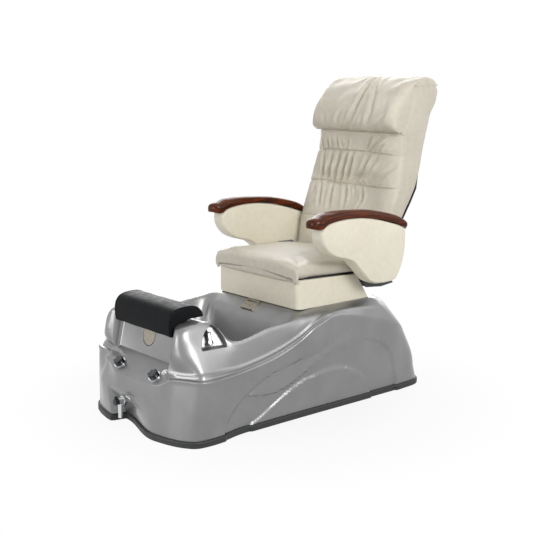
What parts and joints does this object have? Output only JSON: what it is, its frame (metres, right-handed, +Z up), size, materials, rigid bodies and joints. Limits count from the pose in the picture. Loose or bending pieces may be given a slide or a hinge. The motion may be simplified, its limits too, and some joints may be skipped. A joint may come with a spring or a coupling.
{
  "type": "pedicure spa chair",
  "caption": "Pedicure spa chair with a foot basin moulding, sliding recliner seat, lifting arms, height-adjusting footrest, water knobs, hand sprayer and roller massage back",
  "frame": {"origin": "on the floor under the centre of the bounding box", "axes": "+Z up, +Y to the rear behind the back, +X to the sitter's left; the basin is at -Y"},
  "size_m": [0.722, 1.5002, 1.347],
  "materials": {
    "silver_moulding": "metallic silver paint, satin",
    "black_rubber": "matte black",
    "frame_steel": "black powder coat",
    "galvanised_steel": "brushed",
    "chrome": "polished",
    "pipe_plastic": "white plastic pipe",
    "black_plastic": "fine grain",
    "brass": "machined",
    "ivory_leather": "soft grain",
    "wood": "red-brown lacquer",
    "vinyl": "matte black vinyl",
    "roller_plastic": "smooth",
    "skirt_rubber": "matte black"
  },
  "bodies": {
    "base": {"tub_shell": "silver_moulding", "floor_skirt": "skirt_rubber", "chassis_frame": "frame_steel", "levelling_feet": "black_rubber", "drain_strainer": "chrome", "drain_pipe": "pipe_plastic", "drain_valve_body": "chrome", "jet_housing": "chrome", "jet_motor": "black_plastic", "supply_pipe": "brass", "knob_escutcheons": "chrome", "mixer_valves": "brass", "air_bezel": "chrome", "niche_plate": "chrome", "sprayer_dock": "chrome", "waterfall_spout": "chrome", "footrest_guide": "galvanised_steel", "control_box": "black_plastic", "power_inlet": "black_plastic", "seat_plate": "frame_steel", "plate_bolts": "galvanised_steel", "fixed_rails": "galvanised_steel", "plinth_cover": "ivory_leather"},
    "drain_valve": {"drain_valve_stem": "chrome", "drain_knob": "black_plastic"},
    "hot_valve": {"hot_knob": "chrome"},
    "cold_valve": {"cold_knob": "chrome"},
    "air_switch": {"air_button": "chrome"},
    "sprayer": {"hand_sprayer": "chrome"},
    "footrest": {"footrest_tongue": "galvanised_steel", "footrest_board": "black_plastic", "footrest_pad": "vinyl"},
    "seat": {"slide_carriage": "frame_steel", "seat_pan": "frame_steel", "seat_cushion": "ivory_leather"},
    "arm_left": {"arm_brackets_left": "frame_steel", "arm_panel_left": "ivory_leather", "arm_cap_left": "wood"},
    "arm_right": {"arm_brackets_right": "frame_steel", "arm_panel_right": "ivory_leather", "arm_cap_right": "wood"},
    "back": {"back_frame": "frame_steel", "back_rear_shell": "black_plastic", "back_side_panels": "ivory_leather", "back_cushion": "ivory_leather", "headrest_pillow": "ivory_leather", "massage_rails": "galvanised_steel"},
    "massager": {"massage_carriage": "black_plastic"},
    "rollers": {"massage_rollers": "roller_plastic"},
    "actuator": {"recline_actuator": "black_plastic"},
    "actuator_rod": {"recline_rod": "chrome"}
  },
  "joints": [
    {"name": "seat_slide", "type": "slide", "parent": "base", "child": "seat", "axis": [0, -0.9994, 0.0349], "range_m": [0, 0.1]},
    {"name": "back_recline", "type": "hinge", "parent": "seat", "child": "back", "pos_m": [0, 0.4241, 0.56], "axis": [-1, 0, 0], "range_deg": [-8, 32]},
    {"name": "actuator_tilt", "type": "hinge", "parent": "seat", "child": "actuator", "pos_m": [0, 0.1291, 0.462], "axis": [1, 0, 0], "range_deg": [-1, 2.5]},
    {"name": "rod_stroke", "type": "slide", "parent": "actuator", "child": "actuator_rod", "axis": [0, 0.9997, 0.0262], "range_m": [-0.055, 0.015]},
    {"name": "arm_left_lift", "type": "hinge", "parent": "seat", "child": "arm_left", "pos_m": [0.277, 0.3641, 0.525], "axis": [-1, 0, 0], "range_deg": [0, 60]},
    {"name": "arm_right_lift", "type": "hinge", "parent": "seat", "child": "arm_right", "pos_m": [-0.277, 0.3641, 0.525], "axis": [-1, 0, 0], "range_deg": [0, 60]},
    {"name": "footrest_height", "type": "slide", "parent": "base", "child": "footrest", "axis": [0, 0.225, 0.9744], "range_m": [0, 0.06]},
    {"name": "hot_turn", "type": "hinge", "parent": "base", "child": "hot_valve", "pos_m": [-0.088, -0.6829, 0.24486], "axis": [0, -0.5621, 0.8271], "range_deg": [-90, 0]},
    {"name": "cold_turn", "type": "hinge", "parent": "base", "child": "cold_valve", "pos_m": [0.152, -0.6829, 0.24486], "axis": [0, -0.5621, 0.8271], "range_deg": [0, 90]},
    {"name": "air_press", "type": "slide", "parent": "base", "child": "air_switch", "axis": [0, 0.5621, -0.8271], "range_m": [0, 0.003], "stiffness_N_per_m": 600},
    {"name": "drain_turn", "type": "hinge", "parent": "base", "child": "drain_valve", "pos_m": [-0.03, -0.7349, 0.112], "axis": [0, -1, 0], "range_deg": [0, 90]},
    {"name": "sprayer_lift", "type": "slide", "parent": "base", "child": "sprayer", "axis": [0.8282, -0.2532, 0.5], "range_m": [0, 0.08]},
    {"name": "massage_travel", "type": "slide", "parent": "back", "child": "massager", "axis": [0, 0.279, 0.9603], "range_m": [0, 0.18]},
    {"name": "roller_turn", "type": "hinge", "parent": "massager", "child": "rollers", "pos_m": [0, 0.56779, 0.90104], "axis": [1, 0, 0], "continuous": true}
  ],
  "couplings": [
    {"joint": "actuator_tilt", "follows": "back_recline", "ratio": 0.045},
    {"joint": "rod_stroke", "follows": "back_recline", "m_per_rad": -0.0885}
  ]
}
